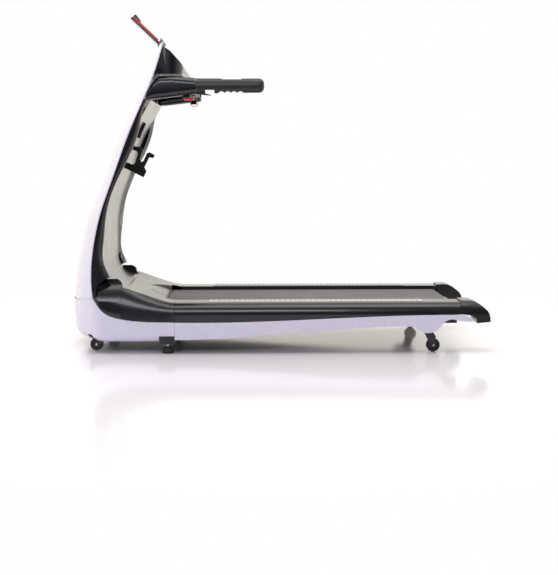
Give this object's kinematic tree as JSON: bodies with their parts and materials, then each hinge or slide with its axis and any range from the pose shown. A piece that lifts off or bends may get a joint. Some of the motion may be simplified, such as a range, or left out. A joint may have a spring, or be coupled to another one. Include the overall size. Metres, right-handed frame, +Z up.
{
  "type": "folding treadmill",
  "caption": "Folding treadmill with a low running deck, a curved mast that hinges down over the belt, side arms with folding grips, and a tilting tablet ledge.",
  "frame": {"origin": "on the floor, at the middle of the object's length and width", "axes": "+X runs along the deck from the mast to the rear, +Y across the deck to the right, +Z up from the floor"},
  "size_m": [1.65, 0.72, 1.3133],
  "materials": {
    "shell_white": "glossy moulded",
    "gloss_black": "high gloss moulded",
    "grey_plastic": "fine textured",
    "steel": "machined",
    "painted_steel": "satin powder coat",
    "rubber": "matt rubber",
    "rail_insert": "ribbed anti-slip",
    "deck": "laminated board",
    "belt": "fine diamond texture",
    "alloy": "satin",
    "display": "polished dark lens",
    "grip_black": "soft touch",
    "red_rubber": "soft pad",
    "red_plastic": "moulded",
    "red_cord": "braided"
  },
  "bodies": {
    "root": {"front_casing": "shell_white", "bottom_pan": "grey_plastic", "neck_cover": "shell_white", "motor_hood": "gloss_black", "knuckle_covers": "gloss_black", "side_bands": "gloss_black", "side_skirts": "shell_white", "end_caps": "gloss_black", "rail_inserts": "rail_insert", "base_frame": "painted_steel", "deck_board": "deck", "deck_cushions": "rubber", "running_belt": "belt", "roller_shafts": "steel", "roller_brackets": "painted_steel", "motor_body": "painted_steel", "drive_belt": "rubber", "motor_controller": "alloy", "hinge_pins": "steel", "wheel_axles": "steel", "wheel_brackets": "painted_steel", "foot_brackets": "painted_steel", "foot_studs": "steel", "power_inlet": "grey_plastic"},
    "mast": {"mast_shell": "shell_white", "inner_panel": "gloss_black", "mast_ribs": "gloss_black", "mast_frame": "painted_steel", "hinge_bushes": "grey_plastic", "console_housing": "gloss_black", "display_lens": "display", "arms": "gloss_black", "grip_pins": "steel", "accessory_bracket": "painted_steel", "remote_clip": "grey_plastic", "flap_hinge": "grey_plastic"},
    "tablet_flap": {"flap_plate": "shell_white", "flap_tray": "grey_plastic", "flap_pad": "red_rubber"},
    "grip_left": {"grip_left": "grip_black", "pulse_plate_left": "alloy"},
    "grip_right": {"grip_right": "grip_black", "pulse_plate_right": "alloy"},
    "trigger_left": {"trigger_left": "grey_plastic"},
    "trigger_right": {"trigger_right": "grey_plastic"},
    "front_roller": {"front_roller": "steel", "front_roller_bearings": "steel", "drive_pulley": "alloy"},
    "rear_roller": {"rear_roller": "steel", "rear_roller_bearings": "steel"},
    "motor_rotor": {"motor_shaft": "steel", "motor_pulley": "steel"},
    "rear_wheels": {"rear_wheels": "rubber"},
    "transport_wheels": {"transport_wheels": "rubber"},
    "levelling_foot_left": {"levelling_foot_left": "rubber"},
    "levelling_foot_right": {"levelling_foot_right": "rubber"},
    "power_switch": {"power_switch": "red_plastic"},
    "safety_key": {"safety_key": "red_plastic", "safety_lanyard": "red_cord", "lanyard_clip": "grey_plastic"}
  },
  "joints": [
    {"name": "mast_fold", "type": "hinge", "parent": "root", "child": "mast", "pos_m": [-0.64, 0, 0.238], "axis": [0, 1, 0], "range_deg": [0, 66]},
    {"name": "tablet_flap_tilt", "type": "hinge", "parent": "mast", "child": "tablet_flap", "pos_m": [-0.461, 0, 1.192], "axis": [0, 1, 0], "range_deg": [-70, 0]},
    {"name": "grip_left_fold", "type": "hinge", "parent": "mast", "child": "grip_left", "pos_m": [-0.3406, -0.3, 1.024], "axis": [0, 0, 1], "range_deg": [0, 90]},
    {"name": "grip_right_unfold", "type": "hinge", "parent": "mast", "child": "grip_right", "pos_m": [-0.3406, 0.3, 1.024], "axis": [0, 0, -1], "range_deg": [-90, 0]},
    {"name": "trigger_left_squeeze", "type": "hinge", "parent": "grip_left", "child": "trigger_left", "pos_m": [-0.3048, -0.3, 0.999], "axis": [0, -1, 0], "range_deg": [0, 8], "stiffness_Nm_per_rad": 0.5, "springref_deg": -2.86},
    {"name": "trigger_right_squeeze", "type": "hinge", "parent": "grip_right", "child": "trigger_right", "pos_m": [-0.3406, 0.2642, 0.999], "axis": [-1, 0, 0], "range_deg": [0, 8], "stiffness_Nm_per_rad": 0.5, "springref_deg": -2.86},
    {"name": "front_roller_spin", "type": "hinge", "parent": "root", "child": "front_roller", "pos_m": [-0.48, 0, 0.1545], "axis": [0, 1, 0], "continuous": true},
    {"name": "rear_roller_spin", "type": "hinge", "parent": "root", "child": "rear_roller", "pos_m": [0.686, 0, 0.1585], "axis": [0, 1, 0], "continuous": true},
    {"name": "motor_spin", "type": "hinge", "parent": "root", "child": "motor_rotor", "pos_m": [-0.555, 0, 0.102], "axis": [0, 1, 0], "continuous": true},
    {"name": "rear_wheels_spin", "type": "hinge", "parent": "root", "child": "rear_wheels", "pos_m": [0.609, 0, 0.026], "axis": [0, 1, 0], "continuous": true},
    {"name": "transport_wheels_spin", "type": "hinge", "parent": "root", "child": "transport_wheels", "pos_m": [-0.702, 0, 0.032], "axis": [0, 1, 0], "continuous": true},
    {"name": "levelling_foot_left_turn", "type": "hinge", "parent": "root", "child": "levelling_foot_left", "pos_m": [-0.424, -0.325, 0], "axis": [0, 0, 1], "continuous": true},
    {"name": "levelling_foot_right_turn", "type": "hinge", "parent": "root", "child": "levelling_foot_right", "pos_m": [-0.424, 0.325, 0], "axis": [0, 0, 1], "continuous": true},
    {"name": "power_switch_rock", "type": "hinge", "parent": "root", "child": "power_switch", "pos_m": [-0.797, 0.151, 0.101], "axis": [0, 1, 0], "range_deg": [-8, 8]},
    {"name": "safety_key_pull", "type": "slide", "parent": "mast", "child": "safety_key", "axis": [0, 0, -1], "range_m": [0, 0.02]}
  ],
  "couplings": [
    {"joint": "grip_left_fold", "follows": "mast_fold", "ratio": 1.3636},
    {"joint": "motor_spin", "follows": "front_roller_spin", "ratio": 2},
    {"joint": "rear_roller_spin", "follows": "front_roller_spin", "ratio": 1.1905}
  ]
}
